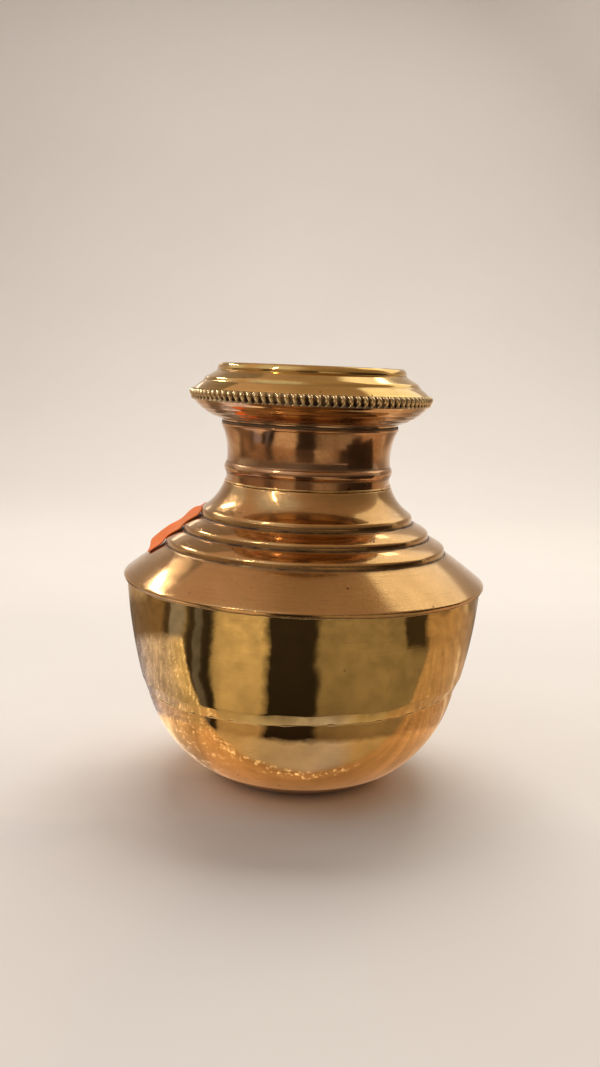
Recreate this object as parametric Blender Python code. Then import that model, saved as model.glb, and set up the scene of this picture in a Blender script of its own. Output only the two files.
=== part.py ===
# Brass kalash: a pot of brazed sheet shells with a stepped shoulder and a hollow beaded rim.
# Metres, +Z up. The origin is the middle of the flat that the pot stands on.
import math

import bmesh
import bpy
from mathutils import Vector

# Sheets and fits
SHEET = 0.0012  # body sheet thickness
RIM_SHEET = 0.0010  # rim sheet thickness
FIT = 0.0003  # clearance at every lap and seat, where the brazing metal runs

# Lower bowl, from the flat base up to the lower edge of the wall
BASE_RADIUS = 0.0330
BOWL_RADIUS = 0.0783
BOWL_HEIGHT = 0.0500
BOWL_BULGE = 0.0096  # how far the bowl's curve stands off its chord
LAP_HEIGHT = 0.0130  # how far the bowl's edge reaches up inside the wall

# Wall, from its thinned lower edge up to the belly edge
WALL_HEIGHT = 0.0529
WALL_BULGE = 0.0011
BAND_FLARE = 0.0009  # radius the wall's inner face gains over the thinned band
BAND_RISE = 0.0060  # height of the thinned band
BAND_EDGE = 0.0004  # sheet left at the band's lower edge
WALL_LAP = 0.0020  # how far the wall reaches up inside the shoulder's skirt

# Shoulder, from its turned-down edge up to the collar in the neck
BELLY_RADIUS = 0.0900
BELLY_ROUND = 0.0016
SKIRT_DROP = 0.0040  # turned-down edge below the widest point
SKIRT_DRAW = 0.0006  # radius lost from the widest point to the skirt's lower edge
SHOULDER_HEIGHT = 0.0461
STEP_COUNT = 3
STEP_RUN = 0.0084
STEP_DROP = 0.0071
RISER_RUN = 0.0008
RISER_DROP = 0.0020
TREAD_BULGE = 0.0005
SWEEP_RUN = 0.0113  # from the neck's ledge out to the top step's nose
SWEEP_DROP = 0.0146
SWEEP_HOLLOW = 0.0014
LEDGE = 0.0009  # shelf left outside the neck's foot
COLLAR_HEIGHT = 0.0050

# Neck
NECK_RADIUS = 0.0406
NECK_HEIGHT = 0.0286
NECK_FLARE = 0.0029  # radius gained from the foot to the top
NECK_HOLLOW = 0.0013
NECK_LIP = 0.0010  # upright edge at the neck's top
BEAD_RISE = 0.0047  # from the neck's foot to the lower side of its raised bead
BEAD_HEIGHT = 0.0050
BEAD_STAND = 0.0011

# Hollow rim, from its flange up to the lip
RIM_SEAM = 0.0014  # space for solder between the neck's top and the flange
SOLDER_WIDTH = 0.0006
FLANGE_OVERHANG = 0.0012
FLANGE_ROUND = 0.0012
FOOT_RISE = 0.0016
UNDERSIDE_RISE = 0.0082
UNDERSIDE_BULGE = 0.0012
CROWN_RUN = 0.0049
CROWN_RISE = 0.0050
CROWN_ROUND = 0.0016
SHELF_RUN = 0.0060
SHELF_RISE = 0.0029
LIP_WIDTH = 0.0077
LIP_HEIGHT = 0.0049
LIP_OUTER_ROUND = 0.0036
LIP_INNER_ROUND = 0.0025
SLEEVE_DEPTH = 0.0060

# Beaded edge of the rim
EDGE_HEIGHT = 0.0052
EDGE_BODY = 0.0006  # solid metal behind the beads
EDGE_BEAD = 0.0012  # depth of the beads
EDGE_FACE = 0.0026  # upright part of each bead
EDGE_BEADS = 102
EDGE_STEP = 0.0002  # rim sheets stand this far past the beaded edge
TONGUE = 0.0022  # part of the ring between the two rim sheets

# Runs of brazing metal
BRAZE = 0.0009

# Label on the left of the shoulder
LABEL_LENGTH = 0.0350
LABEL_WIDTH = 0.0250
LABEL_SHEET = 0.0004
LABEL_CORNER = 0.0050
LABEL_TOP = 0.0005  # from the top step's nose up to the label's upper end
LABEL_AZIMUTH = math.radians(179)
LABEL_STUCK = 0.0100  # width still stuck down
LABEL_LIFT = 0.0021  # how far the loose edge stands off
LABEL_ROWS = 12
LABEL_COLUMNS = 6

# Faceting
TURN_STEPS = 40
FACET = 0.0002  # how far a facet may stand off its curve
MERGE = 0.000001
SHARP = math.radians(35)

# Places that several pieces share
band_foot = BOWL_HEIGHT
band_top = band_foot + BAND_RISE
belly_height = band_foot + WALL_HEIGHT
skirt_foot = belly_height - SKIRT_DROP
skirt_radius = BELLY_RADIUS - SKIRT_DRAW
wall_top_radius = skirt_radius - SHEET - FIT
wall_foot_radius = BOWL_RADIUS + FIT + BAND_FLARE + SHEET
neck_ledge = belly_height + SHOULDER_HEIGHT
ledge_radius = NECK_RADIUS + LEDGE
neck_foot = neck_ledge + FIT
neck_top = neck_foot + NECK_HEIGHT
neck_top_radius = NECK_RADIUS + NECK_FLARE
flange_height = neck_top + RIM_SEAM
foot_radius = neck_top_radius + FLANGE_OVERHANG
edge_foot = flange_height + FOOT_RISE + UNDERSIDE_RISE
edge_top = edge_foot + EDGE_HEIGHT
shelf_height = edge_top + CROWN_RISE
lip_foot = shelf_height + SHELF_RISE
lip_top = lip_foot + LIP_HEIGHT


def arc(start, end, bulge):
    """Points after start, up to end, on an arc that stands off its chord to the right of travel."""
    chord = end - start
    half = math.atan2(2 * bulge, chord.length)
    radius = chord.length / (2 * math.sin(2 * half))
    facet_angle = 2 * math.acos(1 - FACET / abs(radius))
    count = max(2, math.ceil(abs(4 * half) / facet_angle))
    along = chord.normalized()
    across = Vector((along.y, -along.x))
    points = []
    for step in range(1, count):
        angle = 2 * half * (2 * step / count - 1)
        reach = chord.length / 2 + radius * math.sin(angle)
        stand = radius * (math.cos(angle) - math.cos(2 * half))
        points.append(start + along * reach + across * stand)
    return points + [end]


def fillet(before, corner, after, radius):
    """Points that round a corner between two straight runs."""
    into = (before - corner).normalized()
    out = (after - corner).normalized()
    half = into.angle(out) / 2
    reach = radius / math.tan(half)
    start = corner + into * reach
    end = corner + out * reach
    bulge = radius * (1 - math.sin(half))
    turn = out.x * into.y - out.y * into.x
    return [start] + arc(start, end, math.copysign(bulge, turn))


def offset(points, distance):
    """The same outline moved to the left of travel."""
    moved = []
    for index, point in enumerate(points):
        runs = []
        if index > 0:
            runs.append((point - points[index - 1]).normalized())
        if index < len(points) - 1:
            runs.append((points[index + 1] - point).normalized())
        sides = [Vector((-run.y, run.x)) for run in runs]
        middle = sum(sides, Vector((0, 0))).normalized()
        moved.append(point + middle * (distance / middle.dot(sides[0])))
    return moved


def sheet(face, thickness):
    """Closed section of a sheet whose metal lies to the left of its outer face."""
    return face + offset(face, thickness)[::-1]


def radius_at(points, height):
    """Radius of an outline where it first crosses a height."""
    for low, high in zip(points, points[1:]):
        if min(low.y, high.y) <= height <= max(low.y, high.y):
            return low.x + (high.x - low.x) * (height - low.y) / (high.y - low.y)
    return points[-1].x


def height_on(start, end, radius):
    """Height of the straight line through two points at a radius."""
    return start.y + (end.y - start.y) * (radius - start.x) / (end.x - start.x)


def brass(name, colour, roughness):
    return material(name, colour, roughness, 1.0)


def material(name, colour, roughness, metallic):
    made = bpy.data.materials.new(name)
    made.use_nodes = True
    shader = made.node_tree.nodes["Principled BSDF"]
    shader.inputs["Base Color"].default_value = (*colour, 1.0)
    shader.inputs["Roughness"].default_value = roughness
    shader.inputs["Metallic"].default_value = metallic
    return made


def add(name, mesh_data, height, look):
    """Put a finished bmesh in the scene as one named piece."""
    bmesh.ops.recalc_face_normals(mesh_data, faces=mesh_data.faces)
    mesh = bpy.data.meshes.new(name)
    mesh_data.to_mesh(mesh)
    mesh_data.free()
    mesh.materials.append(look)
    mesh.shade_smooth()
    mesh.set_sharp_from_angle(angle=SHARP)
    piece = bpy.data.objects.new(name, mesh)
    piece.location.z = height
    piece.parent = pot
    bpy.context.collection.objects.link(piece)
    return piece


def turned(name, section, look):
    """Spin a section round the pot's axis; one that starts and ends on the axis closes there."""
    height = min(point.y for point in section)
    mesh_data = bmesh.new()
    corners = [mesh_data.verts.new((point.x, 0, point.y - height)) for point in section]
    edges = [mesh_data.edges.new(pair) for pair in zip(corners, corners[1:])]
    if section[0].x > 0:
        edges.append(mesh_data.edges.new((corners[-1], corners[0])))
    bmesh.ops.spin(
        mesh_data, geom=corners + edges, cent=(0, 0, 0), axis=(0, 0, 1), dvec=(0, 0, 0),
        angle=math.tau, steps=TURN_STEPS, use_merge=True, use_duplicate=False,
    )
    bmesh.ops.remove_doubles(mesh_data, verts=mesh_data.verts, dist=MERGE)
    return add(name, mesh_data, height, look)


def beaded(name, section, bead_points, look):
    """A ring whose marked section points swell into a row of beads."""
    height = min(point.y for point in section)
    mesh_data = bmesh.new()
    rings = []
    for step in range(2 * EDGE_BEADS):
        angle = math.tau * step / (2 * EDGE_BEADS)
        swell = EDGE_BEAD * (step % 2)
        ring = []
        for index, point in enumerate(section):
            radius = point.x + swell * (index in bead_points)
            place = (radius * math.cos(angle), radius * math.sin(angle), point.y - height)
            ring.append(mesh_data.verts.new(place))
        rings.append(ring)
    for here, there in zip(rings, rings[1:] + rings[:1]):
        for index, corner in enumerate(here):
            mesh_data.faces.new((here[index - 1], corner, there[index], there[index - 1]))
    return add(name, mesh_data, height, look)


for old in list(bpy.data.objects):
    bpy.data.objects.remove(old)

pot = bpy.data.objects.new("kalash", None)
bpy.context.collection.objects.link(pot)

# Wall: thinned lower edge over the bowl, upper edge under the shoulder's skirt
wall_foot = Vector((wall_foot_radius, band_top))
wall_head = Vector((wall_top_radius, skirt_foot + WALL_LAP))
wall_face = [wall_foot] + arc(wall_foot, wall_head, WALL_BULGE)
wall_back = offset(wall_face, SHEET)
band_inner = Vector((BOWL_RADIUS + FIT, band_foot))
band_outer = band_inner + Vector((BAND_EDGE, 0))
turned(
    "bowl_wall", [band_outer] + wall_face + wall_back[::-1] + [band_inner],
    brass("wall_brass", (0.60, 0.37, 0.12), 0.22),
)

# Lower bowl: flat base, curved side, and a lap that follows the wall's inner face
base_edge = Vector((BASE_RADIUS, 0))
bowl_edge = Vector((BOWL_RADIUS, band_foot))
lap_top = band_foot + LAP_HEIGHT
lap = [Vector((radius_at(wall_back, height) - FIT, height)) for height in (wall_back[0].y, lap_top)]
bowl_face = [Vector((0, 0)), base_edge] + arc(base_edge, bowl_edge, BOWL_BULGE) + lap
bowl_back = offset(bowl_face, SHEET)
turned(
    "bottom_bowl", bowl_face + bowl_back[::-1],
    brass("bowl_brass", (0.58, 0.33, 0.10), 0.20),
)

# Brazing metal under the wall's lower edge
braze_head = band_foot - FIT
braze_tail = braze_head - BRAZE
turned(
    "belly_braze",
    [
        Vector((radius_at(bowl_face, braze_tail) + FIT, braze_tail)),
        Vector((band_outer.x + FIT, braze_head)),
        Vector((radius_at(bowl_face, braze_head) + FIT, braze_head)),
    ],
    brass("belly_braze_metal", (0.64, 0.42, 0.16), 0.35),
)

# Shoulder: skirt, rounded belly edge, cone, steps, hollow sweep, ledge and collar
belly_edge = Vector((BELLY_RADIUS, belly_height))
noses = []
for step in range(STEP_COUNT):
    radius = ledge_radius + SWEEP_RUN + step * STEP_RUN
    noses.append(Vector((radius, neck_ledge - SWEEP_DROP - step * STEP_DROP)))
feet = [nose + Vector((RISER_RUN, -RISER_DROP)) for nose in noses]
skirt = Vector((skirt_radius, skirt_foot))
ledge_edge = Vector((ledge_radius, neck_ledge))
collar_radius = NECK_RADIUS - SHEET - FIT
shoulder_face = [skirt] + fillet(skirt, belly_edge, feet[-1], BELLY_ROUND)
for step in reversed(range(STEP_COUNT)):
    shoulder_face += [feet[step], noses[step]]
    if step:
        shoulder_face += arc(noses[step], feet[step - 1], TREAD_BULGE)[:-1]
shoulder_face += arc(noses[0], ledge_edge, -SWEEP_HOLLOW)
shoulder_face.append(Vector((collar_radius, neck_ledge)))
shoulder_face.append(Vector((collar_radius, neck_ledge + COLLAR_HEIGHT)))
turned(
    "shoulder", sheet(shoulder_face, SHEET),
    brass("shoulder_brass", (0.50, 0.31, 0.14), 0.28),
)

# Brazing metal under the skirt
braze_head = skirt_foot - FIT
braze_tail = braze_head - BRAZE
turned(
    "shoulder_braze",
    [
        Vector((radius_at(wall_face, braze_tail) + FIT, braze_tail)),
        Vector((skirt_radius, braze_head)),
        Vector((radius_at(wall_face, braze_head) + FIT, braze_head)),
    ],
    brass("shoulder_braze_metal", (0.64, 0.42, 0.16), 0.35),
)

# Neck: upright foot, raised bead, hollow waist and flared top
neck_start = Vector((NECK_RADIUS, neck_foot))
bead_foot = Vector((NECK_RADIUS, neck_foot + BEAD_RISE))
bead_head = bead_foot + Vector((0, BEAD_HEIGHT))
flare = Vector((neck_top_radius, neck_top - NECK_LIP))
neck_end = Vector((neck_top_radius, neck_top))
neck_face = [neck_start, bead_foot] + arc(bead_foot, bead_head, BEAD_STAND)
neck_face += arc(bead_head, flare, -NECK_HOLLOW) + [neck_end]
neck_back = offset(neck_face, SHEET)
turned(
    "neck", neck_face + neck_back[::-1],
    brass("neck_brass", (0.52, 0.31, 0.15), 0.24),
)

# Brazing metal round the neck's foot, on the shoulder's ledge
turned(
    "neck_braze",
    [
        Vector((NECK_RADIUS + FIT, neck_foot)),
        Vector((ledge_radius, neck_foot)),
        Vector((NECK_RADIUS + FIT, neck_foot + BRAZE)),
    ],
    brass("neck_braze_metal", (0.64, 0.42, 0.16), 0.35),
)

# Solder between the neck's top and the rim's flange
solder_radius = neck_top_radius - SHEET
solder_foot = neck_top + FIT
solder_head = flange_height - FIT
turned(
    "rim_solder",
    [
        Vector((solder_radius, solder_foot)),
        Vector((solder_radius + SOLDER_WIDTH, solder_foot)),
        Vector((solder_radius + SOLDER_WIDTH, solder_head)),
        Vector((solder_radius, solder_head)),
    ],
    brass("solder", (0.20, 0.14, 0.08), 0.55),
)

# Upper rim shell: crown cone, shelf, rolled lip and the sleeve down into the neck
sleeve_foot = neck_top - SLEEVE_DEPTH
sleeve_radius = radius_at(neck_back, sleeve_foot) - FIT
mouth_radius = sleeve_radius - RIM_SHEET
lip_radius = mouth_radius + LIP_WIDTH
shelf_radius = lip_radius + SHELF_RUN
edge_radius = shelf_radius + CROWN_RUN
crown_edge = Vector((edge_radius, edge_top + EDGE_STEP))
shelf_edge = Vector((shelf_radius, shelf_height))
lip_base = Vector((lip_radius, lip_foot))
lip_outer = Vector((lip_radius, lip_top))
lip_inner = Vector((mouth_radius, lip_top))
sleeve_end = Vector((mouth_radius, sleeve_foot))
crown_face = [crown_edge] + fillet(crown_edge, shelf_edge, lip_base, CROWN_ROUND) + [lip_base]
crown_face += fillet(lip_base, lip_outer, lip_inner, LIP_OUTER_ROUND)
crown_face += fillet(lip_outer, lip_inner, sleeve_end, LIP_INNER_ROUND) + [sleeve_end]
turned(
    "rim_top", sheet(crown_face, RIM_SHEET),
    brass("rim_brass", (0.66, 0.43, 0.14), 0.20),
)

# Lower rim shell: flange on the solder, short upright foot and swelling cone
flange_inner = Vector((sleeve_radius + FIT, flange_height))
flange_edge = Vector((foot_radius, flange_height))
foot_head = Vector((foot_radius, flange_height + FOOT_RISE))
cone_edge = Vector((edge_radius, edge_foot - EDGE_STEP))
cone_face = [flange_inner] + fillet(flange_inner, flange_edge, foot_head, FLANGE_ROUND)
cone_face += [foot_head] + arc(foot_head, cone_edge, UNDERSIDE_BULGE)
turned(
    "rim_underside", sheet(cone_face, RIM_SHEET),
    brass("underside_brass", (0.60, 0.38, 0.12), 0.30),
)

# Beaded edge: beads outside, and a tongue that lies between the two rim shells
body_radius = edge_radius + FIT
bead_radius = body_radius + EDGE_BODY
tongue_radius = body_radius - TONGUE
upper_seat = offset(crown_face, RIM_SHEET + FIT)[:2]
lower_seat = offset(cone_face, RIM_SHEET + FIT)[-2:]
edge_middle = (edge_foot + edge_top) / 2
beaded(
    "beaded_edge",
    [
        Vector((bead_radius, edge_middle - EDGE_FACE / 2)),
        Vector((bead_radius, edge_middle + EDGE_FACE / 2)),
        Vector((body_radius, edge_top)),
        Vector((body_radius, height_on(*upper_seat, body_radius))),
        Vector((tongue_radius, height_on(*upper_seat, tongue_radius))),
        Vector((tongue_radius, height_on(*lower_seat, tongue_radius))),
        Vector((body_radius, height_on(*lower_seat, body_radius))),
        Vector((body_radius, edge_foot)),
    ],
    (0, 1),
    brass("beaded_brass", (0.62, 0.40, 0.14), 0.26),
)

# Label: lies on the step noses along its near side, and its far side curls away
route = [ledge_edge] + noses + [belly_edge]
route = offset(route, FIT + LABEL_SHEET / 2)


def along_route(distance):
    """Point and outward direction on the label's route, from the top step's nose downward."""
    start = 0 if distance < 0 else 1
    if distance < 0:
        distance += (route[1] - route[0]).length
    while start < len(route) - 2 and distance > (route[start + 1] - route[start]).length:
        distance -= (route[start + 1] - route[start]).length
        start += 1
    run = (route[start + 1] - route[start]).normalized()
    return route[start] + run * distance, Vector((-run.y, run.x))


label_mesh = bmesh.new()
label_rows = []
label_height = neck_ledge
for row in range(LABEL_ROWS + 1):
    travel = LABEL_LENGTH * row / LABEL_ROWS
    point, outward = along_route(travel - LABEL_TOP)
    to_end = min(travel, LABEL_LENGTH - travel)
    inset = max(0, LABEL_CORNER - to_end)
    half_width = LABEL_WIDTH / 2 - LABEL_CORNER + math.sqrt(LABEL_CORNER ** 2 - inset ** 2)
    label_row = []
    for column in range(LABEL_COLUMNS + 1):
        across = half_width * (2 * column / LABEL_COLUMNS - 1)
        loose = max(0, LABEL_WIDTH / 2 - across - LABEL_STUCK) / (LABEL_WIDTH - LABEL_STUCK)
        place = point + outward * (LABEL_LIFT * loose ** 2)
        angle = LABEL_AZIMUTH + across / point.x
        spot = (place.x * math.cos(angle), place.x * math.sin(angle), place.y - label_height)
        label_row.append(label_mesh.verts.new(spot))
    label_rows.append(label_row)
for upper, lower in zip(label_rows, label_rows[1:]):
    for column in range(LABEL_COLUMNS):
        label_mesh.faces.new((upper[column], lower[column], lower[column + 1], upper[column + 1]))
label = add("price_label", label_mesh, label_height, material("label_paper", (0.85, 0.14, 0.03), 0.6, 0.0))
paper = label.modifiers.new("paper", "SOLIDIFY")
paper.thickness = LABEL_SHEET
paper.offset = 0
paper.use_even_offset = True
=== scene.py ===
import math

import bpy
import numpy as np
from mathutils import Matrix, Vector


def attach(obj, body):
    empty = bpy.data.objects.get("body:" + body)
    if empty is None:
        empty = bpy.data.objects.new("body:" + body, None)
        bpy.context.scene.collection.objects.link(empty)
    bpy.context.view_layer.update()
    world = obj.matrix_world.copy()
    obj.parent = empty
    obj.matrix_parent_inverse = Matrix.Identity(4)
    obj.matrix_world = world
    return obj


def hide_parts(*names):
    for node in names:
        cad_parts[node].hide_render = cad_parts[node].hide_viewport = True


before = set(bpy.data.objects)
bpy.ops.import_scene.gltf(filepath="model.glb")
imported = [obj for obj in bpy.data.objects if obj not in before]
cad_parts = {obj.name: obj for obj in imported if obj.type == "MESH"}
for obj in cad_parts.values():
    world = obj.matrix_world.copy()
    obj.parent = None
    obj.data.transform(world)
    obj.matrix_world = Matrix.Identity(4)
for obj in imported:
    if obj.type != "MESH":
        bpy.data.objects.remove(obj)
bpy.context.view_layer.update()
print("frame loaded:", len(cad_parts), "nodes")

# everything below is written in millimetres and goes to metres in makeMesh
mm = 0.001
fineStep = 0.1  # spacing of the points along a fresh line
turns = 360  # facets round the pot
around = np.linspace(0, math.tau, turns, endpoint=False)
draw = np.random.default_rng(11)


# lines and sections

def bulged(start, end, bulge):  # arc that stands off its chord, to the right of travel
    start, end = np.array(start, float), np.array(end, float)
    chord = end - start
    length = np.hypot(*chord)
    count = max(2, int(length / fineStep))
    half = math.atan2(2 * bulge, length)
    radius = length / (2 * math.sin(2 * half))
    angle = np.linspace(-2 * half, 2 * half, count)[:, None]
    along = chord / length
    across = np.array((along[1], -along[0]))
    reach = length / 2 + radius * np.sin(angle)
    stand = radius * (np.cos(angle) - math.cos(2 * half))
    return start + along * reach + across * stand


def joined(*runs):  # runs of points, or single corners, end to end at a fine even spacing
    points = [np.atleast_2d(np.array(run, float)) for run in runs]
    line = np.concatenate(points)
    keep = np.r_[True, np.hypot(*np.diff(line, axis=0).T) > 1e-4]
    return spaced(line[keep], fineStep)


def spaced(line, step):
    length = np.r_[0, np.cumsum(np.hypot(*np.diff(line, axis=0).T))]
    count = max(2, int(round(length[-1] / step)) + 1)
    at = np.linspace(0, length[-1], count)
    return np.stack([np.interp(at, length, line[:, axis]) for axis in (0, 1)], axis=1)


def softened(line, soft, step):  # rounds every corner of a fine line, ends held
    reach = max(1, int(4 * soft / fineStep))
    weight = np.exp(-0.5 * (np.arange(-reach, reach + 1) * fineStep / soft) ** 2)
    weight /= weight.sum()
    before = 2 * line[0] - line[reach:0:-1]
    after = 2 * line[-1] - line[-2:-reach - 2:-1]
    padded = np.concatenate([before, line, after])
    smooth = np.stack([np.convolve(padded[:, axis], weight, "valid") for axis in (0, 1)], axis=1)
    return thinned(smooth, step)


def thinned(line, step, bend=math.radians(6)):  # keeps points where the line turns, and one per step
    heading = np.unwrap(np.arctan2(*np.diff(line, axis=0).T[::-1]))
    length = np.hypot(*np.diff(line, axis=0).T)
    keep, turned, run = [0], 0.0, 0.0
    for place in range(1, len(line) - 1):
        turned += abs(heading[place] - heading[place - 1])
        run += length[place - 1]
        if turned > bend or run > step:
            keep.append(place)
            turned = run = 0.0
    return line[keep + [len(line) - 1]]


def besides(line, distance):  # the same line, moved to the left of travel
    run = np.gradient(line, axis=0)
    run /= np.hypot(*run.T)[:, None]
    return line + distance * np.stack([-run[:, 1], run[:, 0]], axis=1)


def sheetOf(outer, inner):  # closed section: up the outer face and back down the inner face
    return np.concatenate([outer, inner[::-1]]), len(outer)


def shellOf(line, made):  # section of a sheet shell, with an inside that is eased more than its outside
    outer = softened(line, made["soft"], made["step"])
    eased = spaced(besides(softened(line, made["ease"], fineStep), made["sheet"]), fineStep)
    return sheetOf(outer, softened(eased, made["innerSoft"], made["innerStep"]))


def filletCorner(before, corner, after, reach, count=24):
    before, corner, after = (np.array(point, float) for point in (before, corner, after))
    start = corner + (before - corner) / np.hypot(*(before - corner)) * reach
    end = corner + (after - corner) / np.hypot(*(after - corner)) * reach
    share = np.linspace(0, 1, count)[:, None]
    return (1 - share) ** 2 * start + 2 * share * (1 - share) * corner + share ** 2 * end


# hand-made unevenness

def ripple(size, count=24):
    heading = draw.normal(size=(count, 3))
    heading /= np.linalg.norm(heading, axis=1)[:, None]
    waves = heading * draw.uniform(0.7, 1.4, (count, 1)) * math.tau / size
    return waves, draw.uniform(0, math.tau, count)


def rippleAt(field, places):
    waves, phases = field
    return np.sin(places @ waves.T + phases).sum(-1) * math.sqrt(2 / len(phases))


hand = dict(wide=ripple(70), wideDepth=0.055, small=ripple(17), smallDepth=0.012)
edgeLong, edgeShort = ripple(36), ripple(7)


def onRing(radius, height):
    flat = np.full(turns, float(height))
    return np.stack([radius * np.cos(around), radius * np.sin(around), flat], axis=1)


def unevenEdge(radius, height, long, short):  # wander of a cut edge or a run of braze
    places = onRing(radius, height)
    return long * rippleAt(edgeLong, places) + short * rippleAt(edgeShort, places)


def beaten(radii, heights):  # shallow hammer waves, the same for every piece at the same place
    sine, cosine = np.sin(around)[:, None], np.cos(around)[:, None]
    places = np.stack([radii * cosine, radii * sine, heights], axis=-1)
    waves = hand["wideDepth"] * rippleAt(hand["wide"], places)
    return radii + waves + hand["smallDepth"] * rippleAt(hand["small"], places)


# meshes

def creases(line, closed, hollowGain=1.3, ridgeGain=0.9):  # how hollow and how sharp the section is
    before = np.roll(line, 1, axis=0)
    after = np.roll(line, -1, axis=0)
    into, out = line - before, after - line
    turn = np.arctan2(into[:, 0] * out[:, 1] - into[:, 1] * out[:, 0], (into * out).sum(1))
    length = (np.hypot(*into.T) + np.hypot(*out.T)) / 2
    bend = turn / np.maximum(length, 0.05)
    if not closed:
        bend[[0, -1]] = 0
    spread = np.array((1, 4, 6, 4, 1)) / 16
    bend = np.convolve(np.r_[bend[-2:], bend, bend[:2]], spread, "valid")
    return np.clip(-hollowGain * bend, 0, 1), np.clip(ridgeGain * bend, 0, 1)


def setMask(mesh, mask, values):
    mesh.attributes[mask].data.foreach_set("value", values.astype(np.float32))


def makeMesh(name, radii, heights, line, looks, insideFrom=None, closed=True, angles=around):
    count, points = radii.shape
    cosine, sine = np.cos(angles)[:, None], np.sin(angles)[:, None]
    verts = np.stack([radii * cosine, radii * sine, heights], axis=-1).reshape(-1, 3)
    rows = np.arange(points if closed else points - 1)
    step, place = np.meshgrid(np.arange(count), rows, indexing="ij")
    nextStep, nextPlace = (step + 1) % count, (place + 1) % points
    corners = [step * points + place, nextStep * points + place,
               nextStep * points + nextPlace, step * points + nextPlace]
    faces = np.stack(corners, axis=-1).reshape(-1, 4).tolist()
    length = np.r_[0, np.cumsum(np.hypot(*np.diff(np.r_[line, line[:1]], axis=0).T))]
    share = length / length[-1]
    mapU = np.stack([step, step + 1, step + 1, step], axis=-1) / count
    mapV = np.stack([share[place], share[place], share[place + 1], share[place + 1]], axis=-1)
    maps = np.stack([mapU, mapV], axis=-1).reshape(-1, 2)
    slots = (place >= (points if insideFrom is None else insideFrom)).astype(int).reshape(-1)
    if not closed:  # close the axis with a fan at each end
        middle = (np.arange(count) + 0.5) / count
        for end in (0, points - 1):
            verts = np.vstack([verts, (0, 0, heights[:, end].mean())])
            for turn in range(count):
                pair = [turn * points + end, (turn + 1) % count * points + end]
                faces.append([len(verts) - 1] + (pair if end else pair[::-1]))
            slots = np.r_[slots, np.full(count, slots[-1] if end else 0)]
            fanU = np.stack([middle, middle - 0.5 / count, middle + 0.5 / count], axis=-1)
            if not end:
                fanU = fanU[:, [0, 2, 1]]
            fanV = np.tile([1.0 if end else 0.0, share[end], share[end]], (count, 1))
            maps = np.vstack([maps, np.stack([fanU, fanV], axis=-1).reshape(-1, 2)])
    mesh = bpy.data.meshes.new(name)
    mesh.from_pydata((verts * mm).tolist(), [], faces)
    mesh.polygons.foreach_set("material_index", slots.astype(np.int32))
    chart = mesh.uv_layers.new(name="OFBake")
    chart.uv.foreach_set("vector", maps.astype(np.float32).ravel())
    for mask, values in zip(("hollow", "ridge"), creases(line, closed)):
        everywhere = np.tile(values, count)
        mesh.attributes.new(mask, "FLOAT", "POINT")
        setMask(mesh, mask, np.r_[everywhere, np.zeros(len(verts) - len(everywhere))])
    for look in looks:
        mesh.materials.append(look)
    mesh.shade_smooth()
    mesh.set_sharp_from_angle(angle=math.radians(50))
    piece = bpy.data.objects.new(name, mesh)
    bpy.context.scene.collection.objects.link(piece)
    return piece


def newObject(name, verts, faces, look):
    mesh = bpy.data.meshes.new(name)
    mesh.from_pydata(verts, [], faces)
    mesh.materials.append(look)
    item = bpy.data.objects.new(name, mesh)
    bpy.context.scene.collection.objects.link(item)
    return item


def settle(piece, node):
    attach(piece, "root")
    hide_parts(node)
    print("made", piece.name, len(piece.data.polygons), "faces")


def spun(line):  # the same section at every turn, with the hand's unevenness
    radii = np.tile(line[:, 0], (turns, 1))
    heights = np.tile(line[:, 1], (turns, 1))
    return beaten(radii, heights), heights


# node helpers

def wire(tree, kind, inputs=(), **settings):
    node = tree.nodes.new(kind)
    for key, value in settings.items():
        setattr(node, key, value)
    for key, value in dict(inputs).items():
        if isinstance(value, bpy.types.NodeSocket):
            tree.links.new(value, node.inputs[key])
        else:
            node.inputs[key].default_value = value
    return node


def calc(tree, operation, first, second=0.0, clamp=False):
    inputs = {0: first, 1: second}
    return wire(tree, "ShaderNodeMath", inputs, operation=operation, use_clamp=clamp).outputs[0]


def times(tree, first, second, clamp=False):
    return calc(tree, "MULTIPLY", first, second, clamp)


def plus(tree, first, second, clamp=False):
    return calc(tree, "ADD", first, second, clamp)


def minus(tree, first, second):
    return calc(tree, "SUBTRACT", first, second)


def remap(tree, value, low, high, toLow=0.0, toHigh=1.0):
    inputs = {"Value": value, "From Min": low, "From Max": high, "To Min": toLow, "To Max": toHigh}
    return wire(tree, "ShaderNodeMapRange", inputs).outputs[0]


def tint(tree, share, under, over):
    return wire(tree, "ShaderNodeMix", {0: share, 6: under, 7: over}, data_type="RGBA").outputs[2]


def scaled(tree, vector, factor):
    inputs = {0: vector, "Scale": factor}
    return wire(tree, "ShaderNodeVectorMath", inputs, operation="SCALE").outputs[0]


def spotOf(tree):
    return tree.nodes.new("ShaderNodeTexCoord").outputs["Object"]


def parted(tree, spot):
    return wire(tree, "ShaderNodeSeparateXYZ", {0: spot}).outputs


def fromAxis(tree, parts):  # flat direction and distance from the pot's axis
    flat = wire(tree, "ShaderNodeCombineXYZ", {"X": parts["X"], "Y": parts["Y"]}).outputs[0]
    return flat, wire(tree, "ShaderNodeVectorMath", {0: flat}, operation="LENGTH").outputs["Value"]


def noiseAt(tree, spot, scale, detail, **more):
    inputs = {"Vector": spot, "Scale": scale, "Detail": detail, **more}
    return wire(tree, "ShaderNodeTexNoise", inputs).outputs["Fac"]


def bumped(tree, height, depth, under=None, invert=False, strength=1.0):
    inputs = {"Strength": strength, "Distance": depth, "Height": height}
    if under is not None:
        inputs["Normal"] = under
    return wire(tree, "ShaderNodeBump", inputs, invert=invert).outputs[0]


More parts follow.
